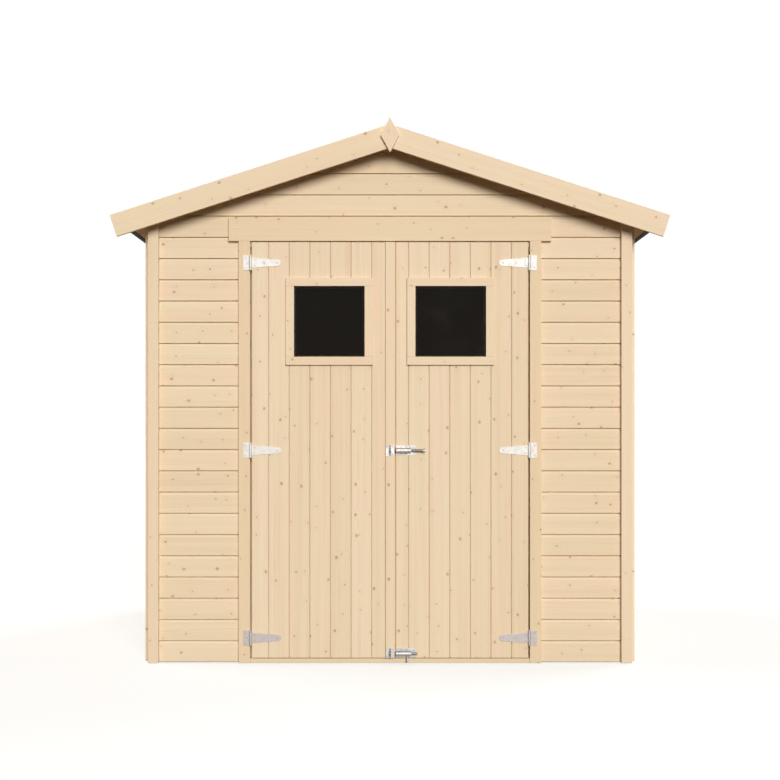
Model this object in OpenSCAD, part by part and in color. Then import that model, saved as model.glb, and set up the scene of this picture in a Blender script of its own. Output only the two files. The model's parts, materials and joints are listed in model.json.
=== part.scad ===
// Wooden garden shed with a shallow apex roof and double doors in its gable front.
// The origin is on the ground under the middle of the shed, the doors face -Y and +Z is up.

/* [Walls] */
// Width across the cladding of the side walls
wall_w = 2022; // [1700:1:2600]
// Depth from the front cladding to the back cladding
wall_d = 2000; // [1600:1:2600]
// Thickness of the wall cladding
clad_t = 14; // [10:1:20]
// Depth of the wall framing behind the cladding
frame_t = 28; // [20:1:50]
// Width of a stud or rail
stud_w = 44; // [30:1:70]
// Thickness of the trims over the cladding
trim_t = 20; // [17:1:30]
// Width of the corner trims
trim_w = 45; // [30:1:60]
// Number of bays between the studs of a side wall
side_bays = 4; // [2:1:6]

/* [Floor] */
// Height of the floor joists
joist_h = 28; // [20:1:60]
// Thickness of the floor boards
floor_t = 16; // [10:1:24]
// Number of floor joists
joist_count = 6; // [4:1:9]

/* [Roof] */
// Slope of the roof in degrees
roof_pitch = 18; // [10:1:30]
// Thickness of the roof boards
deck_t = 12; // [8:1:20]
// Thickness of the roofing felt
felt_t = 2; // [1:0.5:4]
// How far the roof boards reach past the side walls
eave_overhang = 134; // [60:1:200]
// How far the roof boards reach past the front and back cladding
gable_overhang = 90; // [50:1:200]
// Width of the bargeboards across their slope
barge_w = 92.5; // [60:0.5:140]
// Thickness of the bargeboards and finials
barge_t = 16; // [12:1:25]
// How far the bargeboards reach past the roof boards at the eaves
barge_end = 8; // [4:1:20]
// Height of the diamond finials
finial_h = 144; // [100:1:200]
// Width of the diamond finials
finial_w = 78; // [50:1:120]
// How far a finial stands above the bargeboards
finial_rise = 24; // [0:1:50]
// Width of the felt lap turned under the eaves
felt_return = 20; // [10:1:40]
// Half width of the felt strip over the ridge
ridge_felt_w = 150; // [80:1:250]
// Height of the ridge beam
ridge_beam_h = 70; // [50:1:100]
// Width of the ridge beam
ridge_beam_w = 32; // [20:1:50]

/* [Doors] */
// Width from the middle of the doorway to the hinge edge of a leaf
leaf_w = 579; // [450:1:700]
// Height of a leaf
leaf_h = 1734; // [1400:1:2100]
// Height of the leaves above the ground
leaf_z = 23; // [18:1:60]
// Gap around the leaves
door_gap = 5; // [5:0.5:10]
// How far the doorway's frame reaches behind the edges of the leaves
stop_lap = 19; // [12:1:30]
// Gap between the top of an open leaf and the lowest corner of a bargeboard
open_clear = 13; // [6:1:60]
// Width of the jamb trims
jamb_w = 48; // [40:1:80]
// Height of the header board
header_h = 104; // [70:1:150]
// How far the header board reaches past the jamb trims
header_lap = 42; // [0:1:80]
// Width of the cover strip where the leaves meet
strip_w = 37; // [30:1:60]
// Thickness of the cover strip
strip_t = 10; // [8:1:14]
// Width of the ledges and braces behind the door boards
ledge_w = 70; // [50:1:90]
// Thickness of the ledges and braces
ledge_t = 20; // [12:1:25]
// Distance from the ledges to the meeting edge of their leaf
ledge_inset = 30; // [20:1:50]
// Gap between the ledges and the frame of the doorway
ledge_gap = 11; // [6:1:20]

/* [Windows] */
// Width and height of the visible glass
glass_w = 294; // [200:1:360]
// Distance from the middle of the doorway to the middle of each window
window_x = 253; // [245:1:270]
// Distance from the top of the leaf to the glass
glass_from_top = 184; // [150:1:300]
// Width of the window frame around the glass
window_trim = 35; // [20:1:60]
// How far the window frame stands in front of the door boards
window_proud = 12; // [6:1:20]
// Width of the window lining inside the door boards
window_lining = 12; // [8:1:18]
// Thickness of the glass
glass_t = 3; // [2:1:6]

/* [Hinges] */
// Distance of the upper hinge from the top of the leaf
hinge_from_top = 86; // [60:1:120]
// Distance of the lower hinge from the bottom of the leaf
hinge_from_bottom = 83; // [60:1:120]
// Height of a hinge plate on its jamb
plate_h = 63; // [50:1:90]
// Width of a hinge plate from its knuckle
plate_w = 25; // [20:1:40]
// Thickness of the hinge metal
hinge_t = 2.5; // [1.5:0.5:4]
// Length of a hinge strap from the edge of its leaf
strap_l = 124; // [90:1:200]
// Height of a strap at its root
strap_root = 43; // [30:1:50]
// Height of a strap at its rounded tip
strap_tip = 26; // [16:1:30]
// Radius of a hinge pin
pin_r = 2.5; // [2:0.1:4]
// Thickness of a knuckle around its pin
knuckle_t = 2.7; // [2:0.1:4]
// Clearance between the moving metal pieces
metal_gap = 0.3; // [0.2:0.05:0.5]

/* [Bolts] */
// Height of the lower slide bolt above the bottom of the leaf
bolt_from_bottom = 20; // [20:1:40]
// Radius of the sliding rod
rod_r = 5; // [3:0.1:8]
// Radius of the barrel outside
barrel_r = 10.5; // [8:0.1:14]
// Length of the barrel
barrel_l = 64; // [40:1:100]
// Height of the foot between the barrel and its backplate
barrel_foot = 17; // [12:1:20]
// Length of the backplate of a bolt
bolt_plate_l = 82; // [60:1:120]
// Height of the backplate of a bolt
bolt_plate_h = 40; // [30:1:60]
// Thickness of the backplates and keeper plates
bolt_plate_t = 1.5; // [1:0.5:3]
// Travel of a bolt
bolt_travel = 48; // [40:1:60]
// Height of a keeper plate
keeper_h = 46; // [36:1:60]
// Width of a keeper plate
keeper_w = 34; // [20:1:36]
// Width of the loop on a keeper
loop_w = 8; // [5:1:14]
// Thickness of the metal of a loop
loop_t = 2.5; // [1.5:0.5:4]
// Clearance between the rod and the inside of a loop
loop_gap = 0.8; // [0.5:0.1:1.5]
// Radius of the knob at the end of the upper rod
knob_r = 8; // [6:0.5:10]
// Length of the knob
knob_l = 10; // [6:1:16]
// Length of the lower rod
lower_rod_l = 90; // [80:1:110]
// Length of the handle of the lower bolt below its rod
handle_l = 37; // [20:1:40]
// Radius of the handle of the lower bolt
handle_r = 3; // [2:0.5:4]

/* [Hidden] */
$fn = 48;
wood = "burlywood";
dark_wood = "peru";
metal = "silver";
felt = "#2b2a29";

// How far a cut reaches past what it cuts
cut = 1;
// Space between a metal fitting and the edge of the wood that carries it
edge_gap = 1;
// Space between a hinge's web and the wood behind it
web_gap = 0.2;
// How far the left-hand leaf's boards stay behind the edge of the cover strip
strip_lip = 2;

// Fronts and backs of the layers of an end wall, seen from the middle of the shed
wall_y = wall_d / 2;
face_y = wall_y + trim_t;
frame_y = wall_y - clad_t;
inner_y = frame_y - frame_t;
wall_x = wall_w / 2;
frame_x = wall_x - clad_t;
inner_x = frame_x - frame_t;

floor_z = joist_h + floor_t;

// Doorway, with the back of the leaves just clear of the cladding
leaf_t = trim_t - door_gap;
leaf_top = leaf_z + leaf_h;
jamb_x = leaf_w + door_gap;
stop_x = leaf_w - stop_lap;
stop_z = leaf_top - stop_lap;
sill_y = face_y - door_gap;
sill_h = leaf_z - door_gap;
header_z = leaf_top + door_gap;
swing_gap = door_gap + 0.5;
strip_x = strip_w / 2;
meet_x = strip_x + swing_gap;
ledge_x0 = meet_x + ledge_inset;
ledge_x1 = stop_x - ledge_gap;

// Roof, with the bargeboards' lowest corners just above the open leaves
rise = tan(roof_pitch);
deck_x = wall_x + eave_overhang;
barge_x = deck_x + barge_end;
barge_y = wall_y + gable_overhang;
ridge_z = leaf_top + open_clear + barge_w * cos(roof_pitch) + barge_x * rise;
felt_drop = felt_t / cos(roof_pitch);
deck_drop = deck_t / cos(roof_pitch);
barge_drop = barge_w / cos(roof_pitch);
stud_drop = stud_w / cos(roof_pitch);
lay_gap = 0.1;
roof_drop = felt_drop + deck_drop + lay_gap;
under_z = ridge_z - roof_drop;
eaves_z = under_z - wall_x * rise;
beam_x = ridge_beam_w / 2;
purlin_x = (inner_x + beam_x) / 2;

// Hinges, with each pin just in front of the doors and in the middle of the gap
pin_x = leaf_w + door_gap / 2;
knuckle_r = pin_r + metal_gap + knuckle_t;
pin_y = face_y + knuckle_r + edge_gap;
knuckle_h = (plate_h - strap_root) / 2 - metal_gap;
hinge_low_z = leaf_z + hinge_from_bottom;
hinge_high_z = leaf_top - hinge_from_top;
middle_z = (hinge_low_z + hinge_high_z) / 2;
hinge_heights = [hinge_low_z, middle_z, hinge_high_z];

// Bolts, with the rods running just in front of the keeper plates
rod_y = face_y + strip_t + bolt_plate_t + loop_gap + rod_r;
rod_tip_x = strip_x + door_gap;
bolt_x = meet_x + edge_gap / 2;
bore_r = rod_r + metal_gap;
upper_z = middle_z;
lower_z = leaf_z + bolt_from_bottom;
plate_low = leaf_z + edge_gap;
knob_x = bolt_x + barrel_l + bolt_travel + metal_gap;
handle_x = bolt_x + bolt_travel;

// Window in a leaf
glass_x0 = window_x - glass_w / 2;
glass_x1 = window_x + glass_w / 2;
glass_z1 = leaf_top - glass_from_top;
glass_z0 = glass_z1 - glass_w;

// ---- Shared shapes ----

// A box from one corner to the opposite one
module slab(low, high) {
    translate(low) cube(high - low);
}

// The same shape on both sides of the middle, left and right
module both_x() {
    children();
    mirror([1, 0, 0]) children();
}

// The same shape at the front and at the back
module both_y() {
    children();
    mirror([0, 1, 0]) children();
}

// An outline in X and Z, made solid from y0 to y1
module across(y0, y1) {
    translate([0, y1, 0]) rotate([90, 0, 0]) linear_extrude(y1 - y0) children();
}

// An outline in Y and Z, made solid from x0 to x1
module along(x0, x1) {
    translate([x0, 0, 0]) rotate([90, 0, 90]) linear_extrude(x1 - x0) children();
}

// Everything below the roof boards
module under_roof() {
    intersection() {
        children();
        across(-barge_y, barge_y) polygon([
            [-deck_x, 0], [deck_x, 0], [deck_x, under_z - deck_x * rise],
            [0, under_z], [-deck_x, under_z - deck_x * rise]
        ]);
    }
}

// One layer of the right-hand roof slope, with its top face drop below the top of the roof
module slope_layer(drop, thick, x0, x1) {
    top = ridge_z - drop;
    polygon([
        [x0, top - x0 * rise], [x0, top - thick - x0 * rise],
        [x1, top - thick - x1 * rise], [x1, top - x1 * rise]
    ]);
}

// ---- Floor ----

module floor_joists() {
    span = 2 * inner_x - stud_w;
    color(dark_wood) for (i = [0:joist_count - 1]) {
        x = -inner_x + i * span / (joist_count - 1);
        slab([x, -inner_y, 0], [x + stud_w, inner_y, joist_h]);
    }
}

module floor_boards() {
    color(wood) slab([-inner_x, -inner_y, joist_h], [inner_x, inner_y, floor_z]);
}

// Rail across the foot of the doorway, and in front of it the sill under the leaves
module door_threshold() {
    color(wood) {
        slab([-stop_x, -frame_y, 0], [stop_x, -inner_y, floor_z]);
        slab([-stop_x, -sill_y, 0], [stop_x, -frame_y, sill_h]);
        slab([-jamb_x, -sill_y, 0], [jamb_x, -wall_y, sill_h]);
    }
}

// ---- Walls ----

module front_wall_side() {
    color(wood) slab([stop_x, -wall_y, 0], [wall_x, -frame_y, stop_z]);
}

module front_wall_left() {
    mirror([1, 0, 0]) front_wall_side();
}

module front_wall_right() {
    front_wall_side();
}

module front_gable() {
    color(wood) under_roof() slab([-wall_x, -wall_y, stop_z], [wall_x, -frame_y, ridge_z]);
}

module back_wall() {
    color(wood) under_roof() slab([-wall_x, frame_y, 0], [wall_x, wall_y, ridge_z]);
}

module side_wall() {
    color(wood) under_roof() slab([frame_x, -inner_y, 0], [wall_x, inner_y, ridge_z]);
}

module left_wall() {
    mirror([1, 0, 0]) side_wall();
}

module right_wall() {
    side_wall();
}

// The studs of the two gable walls: a corner post at each end, one beside the doorway,
// and in the back wall one in line with those
module gable_wall_studs() {
    color(wood) both_y() both_x() under_roof() {
        slab([inner_x, -frame_y, 0], [wall_x, -inner_y, ridge_z]);
        slab([stop_x, -frame_y, 0], [stop_x + stud_w, -inner_y, stop_z]);
    }
}

// Rails of the gable walls: one at the height of the doorway's head, and short ones at the
// bottom between the studs. The threshold takes the place of a bottom rail in the doorway
module gable_wall_rails() {
    color(wood) {
        both_y() slab([-inner_x, -frame_y, stop_z], [inner_x, -inner_y, stop_z + stud_w]);
        both_y() both_x() slab([stop_x + stud_w, -frame_y, 0], [inner_x, -inner_y, stud_w]);
        slab([-stop_x, inner_y, 0], [stop_x, frame_y, stud_w]);
    }
}

// The studs of the two side walls, between their bottom and top rails
module side_wall_studs() {
    color(wood) both_x() for (i = [0:side_bays]) {
        y = -inner_y + i * (2 * inner_y - stud_w) / side_bays;
        slab([inner_x, y, stud_w], [frame_x, y + stud_w, eaves_z - stud_w]);
    }
}

module side_wall_rails() {
    color(wood) both_x() {
        slab([inner_x, -inner_y, 0], [frame_x, inner_y, stud_w]);
        under_roof() slab([inner_x, -inner_y, eaves_z - stud_w], [frame_x, inner_y, ridge_z]);
    }
}

// Sloping timbers behind the gable cladding, from the ridge beam to the corner posts
module gable_rafters() {
    color(wood) both_y() both_x() across(-frame_y, -inner_y)
        slope_layer(roof_drop, stud_drop, beam_x, inner_x);
}

// ---- Trims ----

module end_corner_trims() {
    color(wood) both_x() under_roof() slab([wall_x - trim_w, -face_y, 0], [wall_x, -wall_y, ridge_z]);
}

module front_corner_trims() {
    end_corner_trims();
}

module back_corner_trims() {
    mirror([0, 1, 0]) end_corner_trims();
}

module side_corner_trims() {
    color(wood) both_x() both_y() under_roof()
        slab([wall_x, -inner_y, 0], [wall_x + trim_t, -inner_y + trim_w, ridge_z]);
}

module door_jamb() {
    color(wood) slab([jamb_x, -face_y, 0], [jamb_x + jamb_w, -wall_y, header_z]);
}

module door_jamb_left() {
    mirror([1, 0, 0]) door_jamb();
}

module door_jamb_right() {
    door_jamb();
}

module door_header() {
    header_x = jamb_x + jamb_w + header_lap;
    color(wood) slab([-header_x, -face_y, header_z], [header_x, -wall_y, header_z + header_h]);
}

// ---- Roof ----

module ridge_beam() {
    color(wood) under_roof()
        slab([-beam_x, -frame_y, under_z - ridge_beam_h], [beam_x, frame_y, ridge_z]);
}

module purlins() {
    color(wood) both_x() across(-inner_y, inner_y)
        slope_layer(roof_drop, stud_drop, purlin_x, purlin_x + stud_w);
}

module roof_deck() {
    color(dark_wood) across(-barge_y, barge_y) slope_layer(felt_drop, deck_drop, 0, deck_x);
}

module roof_deck_left() {
    mirror([1, 0, 0]) roof_deck();
}

module roof_deck_right() {
    roof_deck();
}

// Felt over the roof boards, down their edge and a little way back under the eaves
module roof_felt() {
    outer_x = deck_x + felt_t;
    color(felt) across(-barge_y, barge_y) {
        slope_layer(0, felt_drop - lay_gap, 0, outer_x);
        slope_layer(0, roof_drop + felt_drop, deck_x + lay_gap, outer_x);
        slope_layer(roof_drop, felt_drop, deck_x - felt_return, outer_x);
    }
}

module roof_felt_left() {
    mirror([1, 0, 0]) roof_felt();
}

module roof_felt_right() {
    roof_felt();
}

module ridge_felt() {
    edge_z = ridge_z - ridge_felt_w * rise;
    color(felt) across(-barge_y, barge_y) polygon([
        [-ridge_felt_w, edge_z + lay_gap], [-ridge_felt_w, edge_z + felt_drop], [0, ridge_z + felt_drop],
        [ridge_felt_w, edge_z + felt_drop], [ridge_felt_w, edge_z + lay_gap], [0, ridge_z + lay_gap]
    ]);
}

// A bargeboard of the right-hand slope, plumb at the ridge and square at its lower end
module bargeboard() {
    end_z = ridge_z - barge_x * rise;
    color(wood) across(-barge_y - barge_t, -barge_y) polygon([
        [0, ridge_z], [0, ridge_z - barge_drop],
        [barge_x - barge_w * sin(roof_pitch), end_z - barge_w * cos(roof_pitch)],
        [barge_x, end_z]
    ]);
}

module bargeboards_left() {
    mirror([1, 0, 0]) both_y() bargeboard();
}

module bargeboards_right() {
    both_y() bargeboard();
}

module finials() {
    top = ridge_z + finial_rise;
    color(wood) both_y() across(-barge_y - 2 * barge_t, -barge_y - barge_t) polygon([
        [0, top], [finial_w / 2, top - finial_h / 2],
        [0, top - finial_h], [-finial_w / 2, top - finial_h / 2]
    ]);
}

// ---- Door leaves, drawn on the right-hand side ----

// Door boards from the meeting edge to the hinge edge, with the hole for the window
module leaf_boards(edge) {
    difference() {
        slab([edge, -face_y, leaf_z], [leaf_w, -face_y + leaf_t, leaf_top]);
        slab(
            [glass_x0 - window_lining, -face_y - cut, glass_z0 - window_lining],
            [glass_x1 + window_lining, -face_y + leaf_t + cut, glass_z1 + window_lining]
        );
    }
}

module leaf_ledges() {
    for (z = hinge_heights) {
        low = max(z - ledge_w / 2, floor_z + door_gap);
        slab(
            [ledge_x0, -face_y + leaf_t, low],
            [ledge_x1, -face_y + leaf_t + ledge_t, z + ledge_w / 2]
        );
    }
}

// Sloping brace from the lower ledge at the hinges up to the middle ledge
module leaf_brace() {
    z0 = hinge_low_z + ledge_w / 2;
    z1 = middle_z - ledge_w / 2;
    across(-face_y + leaf_t, -face_y + leaf_t + ledge_t) polygon([
        [ledge_x1, z0], [ledge_x1 - ledge_w, z0], [ledge_x0, z1], [ledge_x0 + ledge_w, z1]
    ]);
}

// Frame in front of the boards and the lining in their hole
module window_frame() {
    difference() {
        union() {
            slab(
                [glass_x0 - window_trim, -face_y - window_proud, glass_z0 - window_trim],
                [glass_x1 + window_trim, -face_y, glass_z1 + window_trim]
            );
            slab(
                [glass_x0 - window_lining, -face_y, glass_z0 - window_lining],
                [glass_x1 + window_lining, -face_y + leaf_t, glass_z1 + window_lining]
            );
        }
        slab(
            [glass_x0, -face_y - window_proud - cut, glass_z0],
            [glass_x1, -face_y + leaf_t + cut, glass_z1]
        );
    }
}

module window_pane() {
    slab([glass_x0, -face_y, glass_z0], [glass_x1, -face_y + glass_t, glass_z1]);
}

// ---- Hinges, drawn on the right-hand side ----

// Plate on the jamb, its two knuckles and the pin
module hinge_plate(z) {
    edge_x = pin_x + knuckle_r + edge_gap;
    translate([pin_x, -pin_y, z - plate_h / 2]) cylinder(h = plate_h, r = pin_r);
    slab([edge_x, -face_y - hinge_t, z - plate_h / 2], [edge_x + plate_w, -face_y, z + plate_h / 2]);
    for (low = [z - plate_h / 2, z + plate_h / 2 - knuckle_h]) {
        translate([pin_x, -pin_y, low]) cylinder(h = knuckle_h, r = knuckle_r);
        slab([pin_x, -face_y - hinge_t, low], [edge_x, -face_y - web_gap, low + knuckle_h]);
    }
}

// Strap on the leaf and the knuckle that turns on the pin
module hinge_strap(z) {
    root_x = leaf_w - edge_gap;
    tip_r = strap_tip / 2;
    tip_x = leaf_w - strap_l + tip_r;
    difference() {
        union() {
            across(-face_y - hinge_t, -face_y) {
                polygon([
                    [root_x, z - strap_root / 2], [root_x, z + strap_root / 2],
                    [tip_x, z + tip_r], [tip_x, z - tip_r]
                ]);
                translate([tip_x, z]) circle(r = tip_r);
            }
            translate([pin_x, -pin_y, z - strap_root / 2]) cylinder(h = strap_root, r = knuckle_r);
            slab(
                [root_x - hinge_t, -pin_y, z - strap_root / 2],
                [pin_x, -face_y - web_gap, z + strap_root / 2]
            );
        }
        translate([pin_x, -pin_y, z - plate_h]) cylinder(h = 2 * plate_h, r = pin_r + metal_gap);
    }
}

// ---- Slide bolts ----

// Backplate and barrel on the right-hand leaf
module bolt_barrel(z) {
    difference() {
        union() {
            slab(
                [bolt_x, -face_y - bolt_plate_t, max(z - bolt_plate_h / 2, plate_low)],
                [bolt_x + bolt_plate_l, -face_y, z + bolt_plate_h / 2]
            );
            slab(
                [bolt_x, -rod_y, z - barrel_foot / 2],
                [bolt_x + barrel_l, -face_y - bolt_plate_t, z + barrel_foot / 2]
            );
            translate([bolt_x, -rod_y, z]) rotate([0, 90, 0]) cylinder(h = barrel_l, r = barrel_r);
        }
        translate([bolt_x - cut, -rod_y, z]) rotate([0, 90, 0])
            cylinder(h = barrel_l + 2 * cut, r = bore_r);
    }
}

// Keeper plate on the cover strip with the loop that takes the rod
module bolt_keeper(z) {
    plate_y = face_y + strip_t + bolt_plate_t;
    hole_r = rod_r + loop_gap;
    slab(
        [-keeper_w / 2, -plate_y, max(z - keeper_h / 2, plate_low)],
        [keeper_w / 2, -face_y - strip_t, z + keeper_h / 2]
    );
    along(-loop_w / 2, loop_w / 2) difference() {
        arch(hole_r + loop_t, -plate_y, z);
        arch(hole_r, -plate_y + loop_t, z);
    }
}

// An arch around the rod, standing on the line base_y
module arch(r, base_y, z) {
    translate([-rod_y, z - r]) square([rod_y + base_y, 2 * r]);
    intersection() {
        translate([-rod_y, z]) circle(r = r);
        translate([-rod_y - r, z - r]) square([r, 2 * r]);
    }
}

module bolt_rod(z, end_x) {
    translate([rod_tip_x, -rod_y, z]) rotate([0, 90, 0]) cylinder(h = end_x - rod_tip_x, r = rod_r);
}

// ---- Nodes of the leaves ----

module hinge_plates_right() {
    color(metal) for (z = hinge_heights) hinge_plate(z);
}

module hinge_plates_left() {
    mirror([1, 0, 0]) hinge_plates_right();
}

module right_hinge_straps() {
    color(metal) for (z = hinge_heights) hinge_strap(z);
}

module left_hinge_straps() {
    mirror([1, 0, 0]) right_hinge_straps();
}

// The left-hand leaf carries the cover strip and reaches behind it
module left_door_panel() {
    color(wood) mirror([1, 0, 0]) leaf_boards(strip_lip - strip_x);
}

module right_door_panel() {
    color(wood) leaf_boards(meet_x);
}

module right_door_ledges() {
    color(wood) leaf_ledges();
}

module left_door_ledges() {
    mirror([1, 0, 0]) right_door_ledges();
}

module right_door_brace() {
    color(wood) leaf_brace();
}

module left_door_brace() {
    mirror([1, 0, 0]) right_door_brace();
}

module right_window_frame() {
    color(wood) window_frame();
}

module left_window_frame() {
    mirror([1, 0, 0]) right_window_frame();
}

module right_window_pane() {
    color("#1a1612") window_pane();
}

module left_window_pane() {
    mirror([1, 0, 0]) right_window_pane();
}

module meeting_strip() {
    color(wood) slab([-strip_x, -face_y - strip_t, leaf_z], [strip_x, -face_y, leaf_top]);
}

module bolt_keepers() {
    color(metal) for (z = [lower_z, upper_z]) bolt_keeper(z);
}

module bolt_barrels() {
    color(metal) {
        bolt_barrel(upper_z);
        difference() {
            bolt_barrel(lower_z);
            // Slot along the underside for the handle
            slab(
                [bolt_x - cut, -rod_y - handle_r - metal_gap, lower_z - 2 * barrel_r],
                [handle_x + handle_r + edge_gap, -rod_y + handle_r + metal_gap, lower_z]
            );
        }
    }
}

module upper_bolt() {
    color(metal) {
        bolt_rod(upper_z, knob_x);
        translate([knob_x, -rod_y, upper_z]) rotate([0, 90, 0]) cylinder(h = knob_l, r = knob_r);
    }
}

module lower_bolt() {
    color(metal) {
        bolt_rod(lower_z, rod_tip_x + lower_rod_l);
        translate([handle_x, -rod_y, lower_z - handle_l]) cylinder(h = handle_l, r = handle_r);
    }
}

floor_joists();
floor_boards();
door_threshold();
front_wall_left();
front_wall_right();
front_gable();
back_wall();
left_wall();
right_wall();
gable_wall_studs();
gable_wall_rails();
side_wall_studs();
side_wall_rails();
gable_rafters();
front_corner_trims();
back_corner_trims();
side_corner_trims();
door_jamb_left();
door_jamb_right();
door_header();
hinge_plates_left();
hinge_plates_right();
ridge_beam();
purlins();
roof_deck_left();
roof_deck_right();
roof_felt_left();
roof_felt_right();
ridge_felt();
bargeboards_left();
bargeboards_right();
finials();
left_door_panel();
left_door_ledges();
left_door_brace();
left_window_frame();
left_window_pane();
left_hinge_straps();
meeting_strip();
bolt_keepers();
right_door_panel();
right_door_ledges();
right_door_brace();
right_window_frame();
right_window_pane();
right_hinge_straps();
bolt_barrels();
upper_bolt();
lower_bolt();
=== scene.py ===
"""Looks of a wooden garden shed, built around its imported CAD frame. Metres, +Z up, doors face -Y."""
import json
import math
import random

import bmesh
import bpy
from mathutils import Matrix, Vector, noise


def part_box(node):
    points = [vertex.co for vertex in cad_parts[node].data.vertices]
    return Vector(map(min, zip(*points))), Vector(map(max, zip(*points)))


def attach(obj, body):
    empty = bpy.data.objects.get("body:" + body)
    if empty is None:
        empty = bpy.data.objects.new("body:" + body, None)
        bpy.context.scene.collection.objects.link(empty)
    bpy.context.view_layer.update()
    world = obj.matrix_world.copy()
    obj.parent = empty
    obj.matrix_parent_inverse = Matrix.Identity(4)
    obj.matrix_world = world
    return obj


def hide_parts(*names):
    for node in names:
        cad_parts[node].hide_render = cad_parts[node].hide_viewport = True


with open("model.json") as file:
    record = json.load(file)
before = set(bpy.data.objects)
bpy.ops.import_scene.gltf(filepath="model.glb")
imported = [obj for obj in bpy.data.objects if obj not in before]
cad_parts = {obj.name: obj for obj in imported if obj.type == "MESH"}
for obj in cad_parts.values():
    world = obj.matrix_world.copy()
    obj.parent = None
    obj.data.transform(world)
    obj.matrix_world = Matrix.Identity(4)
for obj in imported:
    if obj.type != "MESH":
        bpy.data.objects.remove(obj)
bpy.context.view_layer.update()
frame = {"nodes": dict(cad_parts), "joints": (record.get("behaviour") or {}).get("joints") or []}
rng = random.Random(7)

# ---- Measures read from the frame ----

X_AXIS = Vector((1, 0, 0))
Y_AXIS = Vector((0, 1, 0))
Z_AXIS = Vector((0, 0, 1))
FRONT = Vector((0, -1, 0))
SIDES = (("left", -1), ("right", 1))

wall_x, wall_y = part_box("back_wall")[1].xy
clad_t = wall_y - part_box("back_wall")[0].y
inner_x, inner_y, floor_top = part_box("floor_boards")[1]
floor_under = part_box("floor_boards")[0].z
stop_x = -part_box("front_wall_left")[1].x
stop_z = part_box("front_wall_left")[1].z
jamb_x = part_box("door_jamb_right")[0].x
face_y = -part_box("door_header")[0].y

# The slope of the roof: its underside, the top of its boards and the top of its felt
under_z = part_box("ridge_beam")[1].z
deck_low, deck_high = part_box("roof_deck_right")
deck_x, deck_y, deck_z = deck_high
rise = (under_z - deck_low.z) / deck_x
slope = math.atan(rise)
deck_drop = deck_z - under_z
felt_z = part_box("roof_felt_right")[1].z
felt_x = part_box("roof_felt_right")[1].x

# A leaf is described on the right-hand side; the left one is its mirror image
leaf_low, leaf_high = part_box("right_door_panel")
leaf_t = leaf_high.y - leaf_low.y
glass_low, glass_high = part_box("right_window_pane")
frame_low, frame_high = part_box("right_window_frame")
ledge_low, ledge_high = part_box("right_door_ledges")
brace_low, brace_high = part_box("right_door_brace")
pin_x, pin_y = next(j for j in frame["joints"] if j["name"] == "right_door_hinge")["pos_m"][:2]
plate_low, plate_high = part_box("hinge_plates_right")
strap_low, strap_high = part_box("right_hinge_straps")
barrel_low, barrel_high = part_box("bolt_barrels")
keeper_low, keeper_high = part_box("bolt_keepers")
upper_low, upper_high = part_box("upper_bolt")
lower_low, lower_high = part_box("lower_bolt")

# ---- Real sizes that only the looks use ----

COURSE = 0.0889  # height that each cladding board shows
COVE_H = 0.0095  # height of the scallop along the top of a board
COVE_D = 0.0031  # depth of the scallop
LIP = 0.0034  # open slit between a board's lower edge and the scallop below it
LIP_D = 0.0112  # depth of that slit
TONGUE = 0.008  # how far a board reaches up behind the next
SLACK = 0.0004  # play between boards
LIP_CUT = 0.0008  # chamfer of a board's lower edge
DOOR_BOARD = 0.086  # width of a door board
DOOR_JOINT = 0.077  # first joint of the door boards, from the middle of the doorway
VEE = 0.0026  # chamfer on each side of a joint between door boards
SLIT = 0.0005  # half of the open joint behind the chamfers
SLIT_D = 0.0065  # depth of the open joint
EDGE = 0.0014  # rounding of planed edges
SOFT_EDGE = 0.0025  # rounding of larger timbers
FLOOR_EDGE = 0.0009  # rounding of floor boards
FLOOR_BOARD = 0.0958  # width of a floor board
ROOF_BOARD = 0.1038  # width of a roof board
STUD_W = 0.044  # width of a stud
TRIM_W = 0.045  # width of a corner trim
FINIAL_T = 0.016  # thickness of a finial
FINIAL_EDGE = 0.0022  # its rounding
SILL_GAP = 0.0035  # gap between the sill and the leaves
UNDER_JAMB = 0.002  # how far the cladding stays back behind the jamb trims
STOP_BACK = 0.003  # how far the door stops stay behind the leaves' hinge edges
HEADER_CUT = 0.003  # taken off the header's top, so that the slit above it shows
TRIMMED = 0.0012  # planed off the hinge edge of a leaf
REBATE = 0.0065  # how far the left leaf's first board shows beside the cover strip
LINING = 0.012  # thickness of the lining around a window hole
BEAD = 0.009  # size of the beads behind the glass
PANE_EDGE = 0.0003  # rounding of the panes
NAIL_IN = 0.018  # distance of the leaves' nails from the edges of a board
SCATTER = 0.004  # how far nails stand off their line
STRAP_ROOT = 0.043  # height of a hinge strap at its root
STRAP_TIP = 0.026  # height of a hinge strap at its rounded tip
METAL_T = 0.0025  # thickness of the hinge metal
METAL_EDGE = 0.0007  # rounding of hinge plates and straps
FOLD_EDGE = 0.0004  # rounding of the metal that leads to a knuckle
SUNK = 0.0002  # how far a part reaches into the one it is joined to
STRAP_SCREWS = ((0.566, 0.012), (0.566, -0.012), (0.525, 0.0), (0.472, 0.0))  # X, and height over the middle
PLATE_SCREWS = ((0.003, -0.021), (-0.003, 0.0), (0.003, 0.021))  # both from the middle of the plate
KNUCKLE_R = 0.0055  # radius of a hinge knuckle
PIN_R = 0.0025  # radius of a hinge pin
BOLT_T = 0.0015  # thickness of the bolt plates
BOLT_EDGE = 0.0006  # rounding of the bolt plates
BARREL_L = 0.064  # length of a bolt's barrel
BORE_PLAY = 0.0003  # play between a rod and its barrel
BARREL_EASE = 0.0008  # chamfer at the ends of a barrel
BOLT_SCREW_R = 0.0032  # radius of the screws in a bolt's plate
ROD_EDGE = 0.0012  # rounding of a rod's ends
SADDLE_L = 0.012  # length of the two saddles under a barrel
SADDLE_HALF = 0.0085  # half of their height
SLOT_START = 0.010  # where the lower barrel's slot for the handle begins
SLOT_HALF = 0.0034  # half of the slot's width
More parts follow.
